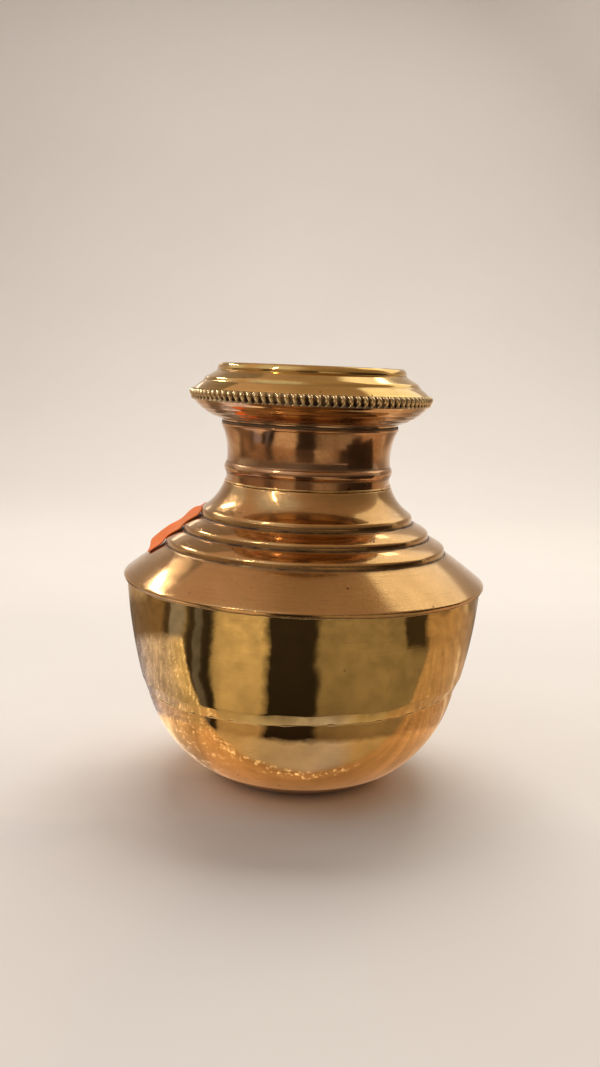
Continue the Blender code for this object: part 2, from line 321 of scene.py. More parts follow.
def newGroup(name, inputs, outputs):
    tree = bpy.data.node_groups.new(name, "ShaderNodeTree")
    for socket, value in inputs.items():
        made = tree.interface.new_socket(socket, in_out="INPUT", socket_type="NodeSocketFloat")
        made.default_value = value
    for socket in outputs:
        tree.interface.new_socket(socket, in_out="OUTPUT", socket_type="NodeSocketFloat")
    return tree, tree.nodes.new("NodeGroupInput").outputs, tree.nodes.new("NodeGroupOutput").inputs


def placed(tree, group, **values):
    return wire(tree, "ShaderNodeGroup", values, node_tree=group).outputs


def newLook(name):
    look = bpy.data.materials.new(name)
    look.use_nodes = True
    return look, look.node_tree, look.node_tree.nodes["Principled BSDF"].inputs


# material groups

def makeTurningLines():  # rings left by turning and buffing, by radius and height
    tree, given, out = newGroup("turningLines", {"Lines": 900.0, "Breaks": 30.0}, ["Height", "Streak"])
    spot = spotOf(tree)
    parts = parted(tree, spot)
    radius = fromAxis(tree, parts)[1]
    pair = wire(tree, "ShaderNodeCombineXYZ", {"X": radius, "Y": parts["Z"]}).outputs[0]
    inputs = {"Vector": scaled(tree, pair, given["Lines"]), "Scale": 1.0, "Detail": 3.0, "Roughness": 0.62}
    rings = wire(tree, "ShaderNodeTexNoise", inputs, noise_dimensions="2D").outputs["Fac"]
    strength = remap(tree, noiseAt(tree, spot, given["Breaks"], 2.0), 0.35, 0.65, 0.25, 1.0)
    tree.links.new(times(tree, minus(tree, rings, 0.5), strength), out["Height"])
    tree.links.new(remap(tree, rings, 0.35, 0.7), out["Streak"])
    return tree


def makeTarnish():  # cloudy stain, thicker in some places, with fine mottling
    tree, given, out = newGroup("tarnishClouds", {"Size": 30.0, "Cover": 0.5, "Mottle": 0.4}, ["Mask"])
    spot = spotOf(tree)
    large = noiseAt(tree, spot, given["Size"], 5.0, Roughness=0.6, Distortion=0.6)
    small = noiseAt(tree, spot, times(tree, given["Size"], 14.0), 3.0)
    cloud = remap(tree, large, 0.38, 0.68)
    speckle = times(tree, remap(tree, small, 0.45, 0.7), given["Mottle"])
    both = times(tree, cloud, plus(tree, speckle, 0.6))
    tree.links.new(times(tree, both, given["Cover"], True), out["Mask"])
    return tree


def makeGrimeAndShade():  # dark dirt in the hollows, with painted shade in creases, gaps, under edges and at the feet of the rounds
    tree, given, out = newGroup("hollowGrimeAndShade", {"Amount": 1.0, "Patchy": 0.25}, ["Mask"])
    hollow = wire(tree, "ShaderNodeAttribute", attribute_name="hollow").outputs["Fac"]
    noise = noiseAt(tree, spotOf(tree), 160.0, 4.0)
    patchy = times(tree, remap(tree, noise, 0.35, 0.65, -1.0, 1.0), given["Patchy"])
    thick = times(tree, hollow, plus(tree, patchy, 1.0))
    tree.links.new(times(tree, thick, given["Amount"], True), out["Mask"])
    return tree


def makeWearAndHighlight():  # bare bright metal on edges that hands and cloths touch; on the bead tops the same mask is a painted highlight
    tree, given, out = newGroup("edgeWearAndHighlight", {"Amount": 1.0}, ["Mask"])
    ridge = wire(tree, "ShaderNodeAttribute", attribute_name="ridge").outputs["Fac"]
    noise = noiseAt(tree, spotOf(tree), 240.0, 3.0)
    broken = times(tree, ridge, remap(tree, noise, 0.3, 0.6, 0.35, 1.0))
    tree.links.new(times(tree, broken, given["Amount"], True), out["Mask"])
    return tree


def makePits():  # scattered small pits and dark specks
    tree, given, out = newGroup("pitSpecks", {"Number": 260.0, "Share": 0.05, "Size": 0.22}, ["Mask"])
    cells = wire(tree, "ShaderNodeTexVoronoi", {"Vector": spotOf(tree), "Scale": given["Number"]})
    chance = wire(tree, "ShaderNodeSeparateColor", {0: cells.outputs["Color"]}).outputs[0]
    chosen = calc(tree, "LESS_THAN", chance, given["Share"])
    near = remap(tree, cells.outputs["Distance"], given["Size"], 0.05)
    tree.links.new(times(tree, near, chosen), out["Mask"])
    return tree


def makeScratches():  # hairlines from wiping and scouring, in two slanting directions
    tree, given, out = newGroup("wipeScratches", {"Fine": 1.0, "Share": 0.5}, ["Height"])
    spot = spotOf(tree)
    total = None
    for turn, lean in ((0.35, 0.5), (-0.6, 1.9)):
        inputs = {"Vector": spot, "Rotation": (turn, lean, lean), "Scale": (60.0, 900.0, 260.0)}
        slanted = wire(tree, "ShaderNodeMapping", inputs).outputs[0]
        thin = remap(tree, noiseAt(tree, slanted, given["Fine"], 2.0), 0.62, 0.72)
        total = thin if total is None else calc(tree, "MAXIMUM", total, thin)
    patch = remap(tree, noiseAt(tree, spot, 45.0, 2.0), 0.45, 0.62)
    tree.links.new(times(tree, total, times(tree, patch, given["Share"])), out["Height"])
    return tree


def makeSpinScores():  # single broken scores that run round the pot
    tree, given, out = newGroup("spinScores", {"Lines": 1500.0, "Arc": 5.0, "Share": 0.66}, ["Mask"])
    parts = parted(tree, spotOf(tree))
    flat, radius = fromAxis(tree, parts)
    facing = wire(tree, "ShaderNodeVectorMath", {0: flat}, operation="NORMALIZE").outputs[0]
    climb = minus(tree, parts["Z"], times(tree, radius, 0.6))
    rows = wire(tree, "ShaderNodeCombineXYZ", {"Z": times(tree, climb, given["Lines"])}).outputs[0]
    inputs = {0: scaled(tree, facing, given["Arc"]), 1: rows}
    laid = wire(tree, "ShaderNodeVectorMath", inputs, operation="ADD").outputs[0]
    noise = noiseAt(tree, laid, 1.0, 1.0)
    tree.links.new(remap(tree, noise, given["Share"], plus(tree, given["Share"], 0.06)), out["Mask"])
    return tree


spinScores = makeSpinScores()
turningLines = makeTurningLines()
tarnishClouds = makeTarnish()
hollowGrimeAndShade = makeGrimeAndShade()
edgeWearAndHighlight = makeWearAndHighlight()
pitSpecks = makePits()
wipeScratches = makeScratches()
print("material groups ready")

grimeAndShadeTone = (0.042, 0.019, 0.008, 1.0)


def brassLook(name, tone, stain, shine, lines=900.0, lineDepth=0.0000022, cover=0.5, cloudSize=30.0,
              grimeAndShade=1.0, wearAndHighlight=0.6, pits=0.05, pitDepth=0.000015, scratch=0.0000012, scores=0.68,
              haze=0.09, satin=0.0, brush=0.0):
    look, tree, shader = newLook(name)
    stainTone = (*stain, 1.0)
    brightTone = (*(min(1.0, part * 1.22) for part in tone), 1.0)
    rings = placed(tree, turningLines, Lines=lines)
    clouds = placed(tree, tarnishClouds, Size=cloudSize, Cover=cover)["Mask"]
    dirtAndShade = placed(tree, hollowGrimeAndShade, Amount=grimeAndShade)["Mask"]
    wornAndHighlight = placed(tree, edgeWearAndHighlight, Amount=wearAndHighlight)["Mask"]
    paintedGlints = placed(tree, pitSpecks, Share=pits)["Mask"]
    hairs = placed(tree, wipeScratches)["Height"]
    cuts = placed(tree, spinScores, Share=scores)["Mask"]
    colour = tint(tree, times(tree, rings["Streak"], 0.10), (*tone, 1.0), stainTone)
    colour = tint(tree, clouds, colour, stainTone)
    dulling = [(rings["Streak"], 0.015), (dirtAndShade, 0.45), (cuts, 0.07)]
    normal = None
    if brush:  # short marks of the buffing wheel
        hatch = placed(tree, spinScores, Lines=2600.0, Arc=70.0, Share=0.5)["Mask"]
        colour = tint(tree, times(tree, hatch, 0.22), colour, stainTone)
        normal = bumped(tree, hatch, brush)
        dulling.append((hatch, 0.04))
    if satin:  # duller towards the belly edge, where hands and floors rub
        spot = spotOf(tree)
        noise = remap(tree, noiseAt(tree, spot, 120.0, 4.0), 0.35, 0.65)
        rub = times(tree, remap(tree, parted(tree, spot)["Z"], 0.117, 0.104), noise)
        dulling.append((rub, satin))
    colour = tint(tree, times(tree, cuts, 0.45), colour, stainTone)
    # bright tone on worn edges, and a painted highlight on the bead tops
    colour = tint(tree, wornAndHighlight, colour, brightTone)
    colour = tint(tree, times(tree, paintedGlints, 0.8), colour, grimeAndShadeTone)
    # grime and painted shade: the hollow mask darkens creases, gaps and undersides to the dark tone
    tree.links.new(tint(tree, dirtAndShade, colour, grimeAndShadeTone), shader["Base Color"])
    rough = times(tree, clouds, haze)
    for mask, amount in dulling:
        rough = plus(tree, rough, times(tree, mask, amount))
    tree.links.new(plus(tree, rough, shine, True), shader["Roughness"])
    tree.links.new(plus(tree, times(tree, dirtAndShade, -0.35), 1.0, True), shader["Metallic"])
    normal = bumped(tree, rings["Height"], lineDepth, normal)
    normal = bumped(tree, hairs, scratch, normal, True)
    tree.links.new(bumped(tree, paintedGlints, pitDepth, normal, True), shader["Normal"])
    return look


insideBrass = brassLook("insideBrass", (0.40, 0.25, 0.11), (0.20, 0.12, 0.06), 0.38, cover=0.9,
                        cloudSize=45.0, lineDepth=0.000004, pits=0.12)

# camera: level with the lip, a little above the belly, turned slightly on its own axis

view = dict(away=522.0, up=205.1, pitch=8.885, yaw=0.305, roll=2.305, focalPixels=1050.0, longSide=1067.0,
            sensor=36.0)
camera = bpy.data.objects.new("camera", bpy.data.cameras.new("camera"))
camera.data.sensor_width = view["sensor"]
camera.data.lens = view["focalPixels"] / view["longSide"] * view["sensor"]
camera.data.clip_start = 0.01
stand = Matrix.Translation((0, -view["away"] * mm, view["up"] * mm))
swing = Matrix.Rotation(math.radians(view["yaw"]), 4, "Z")
tilt = Matrix.Rotation(math.radians(90 - view["pitch"]), 4, "X")
roll = Matrix.Rotation(math.radians(view["roll"]), 4, "Z")
camera.matrix_world = stand @ swing @ tilt @ roll
bpy.context.scene.collection.objects.link(camera)
bpy.context.scene.camera = camera

# lower bowl: base, round side, and the lap that goes up inside the wall

bowl = dict(middle=1.0, base=33.0, radius=78.3, rise=50.0, bulge=9.6, lapRise=13.0, lapSpread=2.4,
            sheet=1.2, soft=0.9, step=0.8, innerStep=2.0)
bowlSide = bulged((bowl["base"], 0), (bowl["radius"], bowl["rise"]), bowl["bulge"])
lapTop = (bowl["radius"] + bowl["lapSpread"], bowl["rise"] + bowl["lapRise"])
bowlLine = joined((bowl["middle"], 0), bowlSide, lapTop)
bowlOuter = softened(bowlLine, bowl["soft"], bowl["step"])
bowlInner = softened(besides(bowlLine, bowl["sheet"]), bowl["soft"], bowl["innerStep"])
bowlSection, bowlInside = sheetOf(bowlOuter, bowlInner)
bowlLook = brassLook("bowlBrass", (0.69, 0.42, 0.145), (0.50, 0.27, 0.09), 0.035, cover=0.32, grimeAndShade=0.5,
                     pits=0.03, lineDepth=0.000005)


def bowlRadius(height):
    return np.interp(height, bowlLine[:, 1], bowlLine[:, 0])


bottomBowl = makeMesh("bottomBowl", *spun(bowlSection), bowlSection, [bowlLook, insideBrass], bowlInside,
                      closed=False)
settle(bottomBowl, "bottom_bowl")

# wall: its thinned lower edge runs unevenly over the bowl and leans with the joint

wall = dict(foot=(81.05, 55.5), head=(88.1, 102.2), bulge=1.1, lean=0.040, band=4.8, bandUneven=0.7,
            bandAt=(84.0, 58.0), edgeLong=0.22, edgeShort=0.12, edgeStand=0.35, edgeLift=0.12, innerLift=0.3,
            headDrop=0.05, sheet=1.2, edge=0.5, outerRows=90, innerRows=24, rowEase=1.25)
wallArc = bulged(wall["foot"], wall["head"], wall["bulge"])
wallStart = wallArc[5] - wallArc[0]
wallSlope = wallStart[0] / wallStart[1]


def wallRadius(height):
    below = wall["foot"][0] + (height - wall["foot"][1]) * wallSlope
    return np.where(height < wall["foot"][1], below, np.interp(height, wallArc[:, 1], wallArc[:, 0]))


seamMiddle = bowl["rise"] + wall["lean"] * bowl["radius"] * np.cos(around)
seam = seamMiddle + unevenEdge(bowl["radius"], bowl["rise"], wall["edgeLong"], wall["edgeShort"])
bandTop = seamMiddle + wall["band"] + wall["bandUneven"] * rippleAt(edgeLong, onRing(*wall["bandAt"]))
footRadius = bowlRadius(seam)[:, None] + wall["edgeStand"]
bandRadius = wallRadius(bandTop)[:, None]


def wallFace(count, foot, head, edge=0.0, sheet=0.0):  # heights and radii at each turn, seam to top edge
    heights = foot[:, None] + (head - foot)[:, None] * np.linspace(0, 1, count) ** wall["rowEase"]
    share = np.clip((heights - seam[:, None]) / (bandTop - seam)[:, None], 0, 1)
    onBand = footRadius + (bandRadius - footRadius) * share
    radii = onBand + wallRadius(np.maximum(heights, bandTop[:, None])) - bandRadius
    return heights, radii - (edge + (sheet - edge) * share)


headLine = np.full(turns, wall["head"][1])
outerHeights, outerRadii = wallFace(wall["outerRows"], seam + wall["edgeLift"], headLine)
innerHeights, innerRadii = wallFace(wall["innerRows"], seam + wall["innerLift"], headLine - wall["headDrop"],
                                    wall["edge"], wall["sheet"])
wallRadii = np.concatenate([outerRadii, innerRadii[:, ::-1]], axis=1)
wallLevels = np.concatenate([outerHeights, innerHeights[:, ::-1]], axis=1)
wallSection = np.stack([wallRadii.mean(0), wallLevels.mean(0)], axis=1)
wallLook = brassLook("wallBrass", (0.65, 0.435, 0.15), (0.48, 0.28, 0.10), 0.03, cover=0.26, lines=1100.0,
                     pits=0.03, grimeAndShade=0.5, lineDepth=0.000008)
bowlWall = makeMesh("bowlWall", beaten(wallRadii, wallLevels), wallLevels, wallSection,
                    [wallLook, insideBrass], wall["outerRows"])
settle(bowlWall, "bowl_wall")


def brazeRun(name, made, radii, heights, look):  # lumpy bead of metal along a joint
    lump = 1 + made["uneven"] * rippleAt(edgeShort, onRing(*made["lumpsAt"]))
    lump = np.clip(lump, made["least"], 2.0)[:, None]
    spin = np.linspace(0, math.tau, 12, endpoint=False)
    ringRadii = radii[:, None] + made["out"] * lump * np.cos(spin)
    ringHeights = heights[:, None] + made["up"] * lump * np.sin(spin)
    line = np.stack([ringRadii.mean(0), ringHeights.mean(0)], axis=1)
    return makeMesh(name, beaten(ringRadii, ringHeights), ringHeights, line, [look])


def levelRun(name, made, look):  # a run at one radius and height all round
    return brazeRun(name, made, np.full(turns, made["radius"]), np.full(turns, made["height"]), look)


bellyBraze = dict(out=0.34, up=0.42, uneven=0.45, least=0.35, lumpsAt=(78.0, 49.0), stand=0.12, sink=0.10)
brazeLook = brassLook("brazeMetal", (0.74, 0.52, 0.22), (0.42, 0.25, 0.10), 0.22, cover=0.8,
                      cloudSize=120.0, lineDepth=0.000001, pits=0.2)
seamRadii = beaten(bowlRadius(seam)[:, None] + bellyBraze["stand"], seam[:, None])[:, 0]
bellyRun = brazeRun("bellyBraze", bellyBraze, seamRadii, seam - bellyBraze["sink"], brazeLook)
settle(bellyRun, "belly_braze")

# shoulder: turned-down skirt, rounded belly edge, cone, three rounds, hollow sweep and collar

shoulder = dict(sheet=1.2, skirt=(89.2, 101.2), belly=(90.0, 103.0), bellyRound=0.9, ledge=(41.5, 149.0),
                sweepRun=11.3, sweepDrop=14.6, sweepHollow=1.4, rounds=3, stepRun=8.4, stepDrop=7.1,
                riserDrop=2.35, noseRound=1.35, noseLift=0.5, footRound=0.8, treadBulge=0.16, coneBulge=0.30,
                collar=39.1, collarTop=154.0, soft=0.20, step=0.8, ease=1.2, innerSoft=1.0, innerStep=1.6,
                skirtAt=(89.0, 99.0), skirtLong=0.10, skirtShort=0.05, edgeBelow=102.2, shadeBelow=102.0,
                shadeOver=0.6, dirtAndShade=0.8)
noses, feet = [], []
for step in range(shoulder["rounds"]):
    noseRadius = shoulder["ledge"][0] + shoulder["sweepRun"] + step * shoulder["stepRun"]
    noseHeight = shoulder["ledge"][1] - shoulder["sweepDrop"] - step * shoulder["stepDrop"]
    noses.append((noseRadius, noseHeight + shoulder["noseLift"]))
    feet.append((noseRadius, noseHeight - shoulder["riserDrop"]))
nextDown = noses[1:] + [shoulder["belly"]]
rounds = [filletCorner(down, foot, nose, shoulder["footRound"])
          for down, foot, nose in zip(nextDown, feet, noses)]
bellyEdge = filletCorner(shoulder["skirt"], shoulder["belly"], feet[-1], shoulder["bellyRound"])
shoulderRuns = [shoulder["skirt"], bellyEdge, bulged(bellyEdge[-1], rounds[-1][0], shoulder["coneBulge"])]
for step in reversed(range(shoulder["rounds"])):
    nextUp = rounds[step - 1][0] if step else shoulder["ledge"]
    nose = filletCorner(feet[step], noses[step], nextUp, shoulder["noseRound"])
    tread = bulged(nose[-1], nextUp, shoulder["treadBulge"] if step else -shoulder["sweepHollow"])
    shoulderRuns += [rounds[step], nose, tread]
shoulderRuns += [(shoulder["collar"], shoulder["ledge"][1]), (shoulder["collar"], shoulder["collarTop"])]
shoulderLine = joined(*shoulderRuns)
shoulderSection, shoulderInside = shellOf(shoulderLine, shoulder)
shoulderRadii, shoulderLevels = spun(shoulderSection)
lowEdge = np.clip(shoulder["edgeBelow"] - shoulderSection[:, 1], 0, 1)
skirtEdge = unevenEdge(*shoulder["skirtAt"], shoulder["skirtLong"], shoulder["skirtShort"])
shoulderLevels = shoulderLevels + skirtEdge[:, None] * lowEdge
shoulderLook = brassLook("shoulderBrass", (0.63, 0.37, 0.145), (0.44, 0.24, 0.085), 0.045, cover=0.5,
                         cloudSize=38.0, lines=1300.0, grimeAndShade=0.85, wearAndHighlight=0.8, scratch=0.000005, pits=0.05,
                         satin=0.05, scores=0.62, haze=0.13, brush=0.000009)
shoulderPiece = makeMesh("shoulderShell", shoulderRadii, shoulderLevels, shoulderSection,
                         [shoulderLook, insideBrass], shoulderInside)
# painted shade under the turned-down skirt, darker towards its lower edge, added to the hollow mask
skirtShade = np.clip((shoulder["shadeBelow"] - shoulderSection[:, 1]) / shoulder["shadeOver"], 0, 1)
hollowsAndSkirtShade = np.maximum(creases(shoulderSection, True)[0], skirtShade * shoulder["dirtAndShade"])
setMask(shoulderPiece.data, "hollow", np.tile(hollowsAndSkirtShade, turns))
settle(shoulderPiece, "shoulder")

shoulderBraze = dict(out=0.40, up=0.34, uneven=0.3, least=0.3, lumpsAt=(88.0, 98.5), stand=0.35, sink=0.30)
skirtFoot = shoulder["skirt"][1] + skirtEdge
shoulderRun = brazeRun("shoulderBraze", shoulderBraze, wallRadius(skirtFoot) + shoulderBraze["stand"],
                       skirtFoot - shoulderBraze["sink"], brazeLook)
settle(shoulderRun, "shoulder_braze")

# neck: upright foot, raised bead, hollow waist and flared top

neck = dict(radius=40.6, foot=149.3, beadFoot=154.0, beadHead=159.0, beadStand=1.1, flare=(43.5, 176.7),
            lip=(43.25, 178.15), hollow=1.3, roll=0.45, sheet=1.2, soft=0.2, step=0.6, ease=1.0,
            innerSoft=1.0, innerStep=1.5)
beadFoot, beadHead = (neck["radius"], neck["beadFoot"]), (neck["radius"], neck["beadHead"])
neckLine = joined((neck["radius"], neck["foot"]), beadFoot, bulged(beadFoot, beadHead, neck["beadStand"]),
                  bulged(beadHead, neck["flare"], -neck["hollow"]),
                  bulged(neck["flare"], neck["lip"], neck["roll"]))
neckSection, neckInside = shellOf(neckLine, neck)
neckLook = brassLook("neckBrass", (0.66, 0.375, 0.19), (0.36, 0.175, 0.07), 0.06, cover=0.85,
                     cloudSize=55.0, lines=1500.0, grimeAndShade=0.4, haze=0.26)
neckPiece = makeMesh("neckTube", *spun(neckSection), neckSection, [neckLook, insideBrass], neckInside)
settle(neckPiece, "neck")

neckBraze = dict(radius=40.95, height=149.65, out=0.42, up=0.48, uneven=0.12, least=0.3,
                 lumpsAt=(41.0, 149.5))
settle(levelRun("neckBraze", neckBraze, brazeLook), "neck_braze")

rimSolder = dict(radius=42.9, height=178.6, out=0.75, up=0.85, uneven=0.10, least=0.3,
                 lumpsAt=(43.0, 178.5))
# near-black tone: painted shade of the gap between the neck's top and the rim, laid on the solder run
solderGapShadeLook = brassLook("solderAndGapShade", (0.20, 0.15, 0.10), (0.05, 0.035, 0.025), 0.45, cover=1.0,
                       cloudSize=150.0)
settle(levelRun("rimSolder", rimSolder, solderGapShadeLook), "rim_solder")

# lower rim shell: flange, upright foot, swelling cone with turned lines

underside = dict(flangeInner=40.4, recess=(43.3, 179.2), recessHead=(43.4, 180.2), foot=(45.0, 180.5),
                 edge=(57.75, 189.0), bulge=1.2, sheet=1.0, lines=(0.10, 0.27, 0.47, 0.66, 0.86),
                 lineStand=0.17, lineWidth=0.5, soft=0.2, step=0.5, ease=0.8, innerSoft=0.8, innerStep=1.2)
cone = bulged(underside["foot"], underside["edge"], underside["bulge"])
coneShare = np.linspace(0, 1, len(cone))
coneLength = np.hypot(*(cone[-1] - cone[0]))
for at in underside["lines"]:
    lift = underside["lineStand"] * np.exp(-((coneShare - at) * coneLength / underside["lineWidth"]) ** 2)
    cone = cone - lift[:, None] * (besides(cone, 1) - cone)
undersideLine = joined((underside["flangeInner"], underside["recess"][1]), underside["recess"],
                       underside["recessHead"], cone)
undersideSection, undersideInside = shellOf(undersideLine, underside)
undersideLook = brassLook("undersideBrass", (0.80, 0.52, 0.29), (0.42, 0.23, 0.08), 0.07, cover=0.6,
                          cloudSize=60.0, lines=1500.0, grimeAndShade=0.6)
rimUnderside = makeMesh("rimUnderside", *spun(undersideSection), undersideSection,
                        [undersideLook, insideBrass], undersideInside)
settle(rimUnderside, "rim_underside")

# upper rim shell: crown, shelf, notch, rolled lip and the sleeve inside the neck

rimTop = dict(edge=(57.75, 194.4), crownHead=(53.25, 198.2), crownBulge=0.15, shelf=(52.35, 199.9),
              shelfRound=0.5, notch=(46.15, 203.5), lipOut=(46.5, 204.6), lip=207.1, lean=1.1, outerRound=1.6,
              innerRound=2.6, mouth=39.06, sleeve=171.9, sheet=1.0, soft=0.28, step=0.5, ease=0.9,
              innerSoft=0.7, innerStep=1.2)
lipCorner = (rimTop["lipOut"][0] - rimTop["lean"], rimTop["lip"])
mouthCorner = (rimTop["mouth"], rimTop["lip"])
sleeveEnd = (rimTop["mouth"], rimTop["sleeve"])
rimLine = joined(bulged(rimTop["edge"], rimTop["crownHead"], rimTop["crownBulge"]),
                 filletCorner(rimTop["crownHead"], rimTop["shelf"], rimTop["notch"], rimTop["shelfRound"]),
                 rimTop["notch"], rimTop["lipOut"],
                 filletCorner(rimTop["lipOut"], lipCorner, mouthCorner, rimTop["outerRound"]),
                 filletCorner(lipCorner, mouthCorner, sleeveEnd, rimTop["innerRound"]), sleeveEnd)
rimSection, rimInside = shellOf(rimLine, rimTop)
rimLook = brassLook("rimBrass", (0.76, 0.49, 0.165), (0.48, 0.28, 0.09), 0.04, cover=0.35, lines=1300.0,
                    wearAndHighlight=0.8, grimeAndShade=0.35, brush=0.0000012)
rimTopPiece = makeMesh("rimTop", *spun(rimSection), rimSection, [rimLook, insideBrass], rimInside)
settle(rimTopPiece, "rim_top")

# beaded edge: slanting beads with pointed lower ends, and the tongue between the two rim shells

beads = dict(number=102, perBead=12, rows=30, low=189.1, high=194.3, valley=57.95, stand=1.85, widest=0.62,
             slant=0.34, tooth=0.24, toothFoot=0.05, toothStand=0.80, toothSoft=0.05, back=57.9,
             tongue=55.8, tongueHigh=(193.0, 195.0), tongueLow=(189.0, 190.2))
beadTurns = beads["number"] * beads["perBead"]
beadAngles = np.linspace(0, math.tau, beadTurns, endpoint=False)
rise = np.linspace(0, 1, beads["rows"])
phase = beadAngles[:, None] * beads["number"] / math.tau + beads["slant"] * (rise - 0.5)
offMiddle = np.abs(2 * (phase % 1.0) - 1)
width = 0.72 * np.clip(0.36 + 1.4 * rise, 0, 1) * np.clip(5.0 * (1.12 - rise), 0, 1)
dome = np.sqrt(np.clip(1 - (offMiddle / np.maximum(width, 0.05)) ** 2.2, 0, 1))
lowerPart = rise < beads["widest"]
fromWidest = np.abs(rise - beads["widest"]) / np.where(lowerPart, beads["widest"], 1 - beads["widest"])
swell = 1 - np.where(lowerPart, fromWidest ** 1.2, 0.6 * fromWidest ** 2.2)
toothTop = beads["toothFoot"] + beads["tooth"] * (1 - offMiddle)
tooth = np.clip((toothTop - rise) / beads["toothSoft"], 0, 1) * beads["toothStand"]
faceRadii = beads["valley"] + np.maximum(beads["stand"] * dome * swell, tooth)
faceHeights = np.tile(beads["low"] + (beads["high"] - beads["low"]) * rise, (beadTurns, 1))
backLine = np.array([(beads["back"], beads["high"]), (beads["back"], beads["tongueHigh"][0]),
                     (beads["tongue"], beads["tongueHigh"][1]), (beads["tongue"], beads["tongueLow"][0]),
                     (beads["back"], beads["tongueLow"][1]), (beads["back"], beads["low"])])
backRadii = np.tile(backLine[:, 0], (beadTurns, 1))
backHeights = np.tile(backLine[:, 1], (beadTurns, 1))
beadRadii = np.concatenate([faceRadii, backRadii], axis=1)
beadLevels = np.concatenate([faceHeights, backHeights], axis=1)
beadSection = np.stack([beadRadii.mean(0), beadLevels.mean(0)], axis=1)
beadLook = brassLook("beadBrass", (0.86, 0.63, 0.33), (0.54, 0.35, 0.14), 0.08, cover=0.25, cloudSize=80.0)
beadedEdge = makeMesh("beadedEdge", beadRadii, beadLevels, beadSection, [beadLook, insideBrass],
                      beads["rows"], angles=beadAngles)
# painted shade between the beads and towards their lower ends, with some grime; painted highlight on the bead
# tops
beadGapGrimeAndShade = np.clip(1.1 - 2.2 * dome * swell - 1.6 * tooth, 0, 1) * np.clip(0.25 + 1.6 * (1 - rise), 0, 1)
beadTopWearAndHighlight = np.clip(1.6 * dome * swell - 0.5, 0, 1)
for mask, values in (("hollow", beadGapGrimeAndShade), ("ridge", beadTopWearAndHighlight)):
    setMask(beadedEdge.data, mask, np.concatenate([values, np.zeros_like(backRadii)], axis=1).ravel())
settle(beadedEdge, "beaded_edge")

# label: lies over the rounds, its far side come loose and curling

label = dict(long=34.8, wide=25.0, thick=0.5, corner=2.6, top=0.9, azimuth=179.0, stuck=10.0, lift=3.0,
             rows=70, columns=40, clear=0.36, sagNear=0.66, sagFar=0.22, wave=0.5, waveTurn=0.355,
             waveStart=1.2, tip=0.8, tipFrom=0.7)
onSteps = (shoulderLine[:, 0] > shoulder["ledge"][0] + 1) & (shoulderLine[:, 1] > shoulder["belly"][1] + 0.5)
stepLine = shoulderLine[onSteps][::-1]
noseLine = spaced(softened(joined(shoulder["ledge"], *noses, shoulder["belly"]), 1.0, 0.2), 0.2)
sagging = spaced(softened(stepLine, 1.6, 0.2), 0.2)
apart = noseLine[:, None] - sagging[None]
sagging = sagging[np.argmin(np.hypot(apart[..., 0], apart[..., 1]), axis=1)]
routeLength = np.r_[0, np.cumsum(np.hypot(*np.diff(noseLine, axis=0).T))]
noseAt = routeLength[np.argmin(np.hypot(*(noseLine - np.array(noses[0])).T))]
outwards = besides(noseLine, 1.0) - noseLine


def alongRoute(line, at):
    return np.array([np.interp(at, routeLength, line[:, axis]) for axis in (0, 1)])


def labelPoint(travel, side):
    at = noseAt - label["top"] + travel
    loose = max(0.0, label["wide"] / 2 - side - label["stuck"]) / (label["wide"] - label["stuck"])
    sag = label["sagNear"] + (label["sagFar"] - label["sagNear"]) * loose
    spot = (1 - sag) * alongRoute(noseLine, at) + sag * alongRoute(sagging, at)
    climb = travel / label["long"]
    wave = label["wave"] * math.sin(travel * label["waveTurn"] - label["waveStart"]) * loose
    curl = (label["lift"] * loose ** 2 + wave) * min(1.0, 0.15 + travel / 8.0) * (0.55 + 0.45 * climb)
    tip = label["tip"] * max(0.0, climb - label["tipFrom"]) / (1 - label["tipFrom"]) * loose
    spot = spot + alongRoute(outwards, at) * (label["clear"] + curl + tip)
    angle = math.radians(label["azimuth"]) + side / spot[0]
    return Vector((spot[0] * math.cos(angle), spot[0] * math.sin(angle), spot[1])) * mm


labelVerts, labelFaces = [], []
for row in range(label["rows"] + 1):
    travel = label["long"] * row / label["rows"]
    inset = max(0.0, label["corner"] - min(travel, label["long"] - travel))
    halfWide = label["wide"] / 2 - label["corner"] + math.sqrt(label["corner"] ** 2 - inset ** 2)
    for column in range(label["columns"] + 1):
        labelVerts.append(labelPoint(travel, halfWide * (2 * column / label["columns"] - 1)))
perRow = label["columns"] + 1
for row in range(label["rows"]):
    for column in range(label["columns"]):
        corner = row * perRow + column
        labelFaces.append((corner, corner + perRow, corner + perRow + 1, corner + 1))


def makeLabelLook():  # matt dyed paper, faded in places
    look, tree, shader = newLook("labelPaper")
    spot = spotOf(tree)
    fibres = noiseAt(tree, spot, 900.0, 4.0)
    fading = remap(tree, noiseAt(tree, spot, 70.0, 3.0), 0.35, 0.7)
    faded = tint(tree, fading, (1.0, 0.20, 0.025, 1.0), (1.0, 0.27, 0.050, 1.0))
    fibreShare = remap(tree, fibres, 0.55, 0.8, 0.0, 0.3)
    tree.links.new(tint(tree, fibreShare, faded, (0.88, 0.13, 0.008, 1.0)), shader["Base Color"])
    tree.links.new(remap(tree, fibres, 0.3, 0.7, 0.38, 0.55), shader["Roughness"])
    tree.links.new(bumped(tree, fibres, 0.00003, strength=0.5), shader["Normal"])
    shader["Specular IOR Level"].default_value = 0.12
    return look


priceLabel = newObject("priceLabel", labelVerts, labelFaces, makeLabelLook())
priceLabel.data.shade_smooth()
paper = priceLabel.modifiers.new("paper", "SOLIDIFY")
paper.thickness = label["thick"] * mm
paper.offset = 0.0
settle(priceLabel, "price_label")

# lamps and soft panels

middle = Vector((0, 0, 0.12))


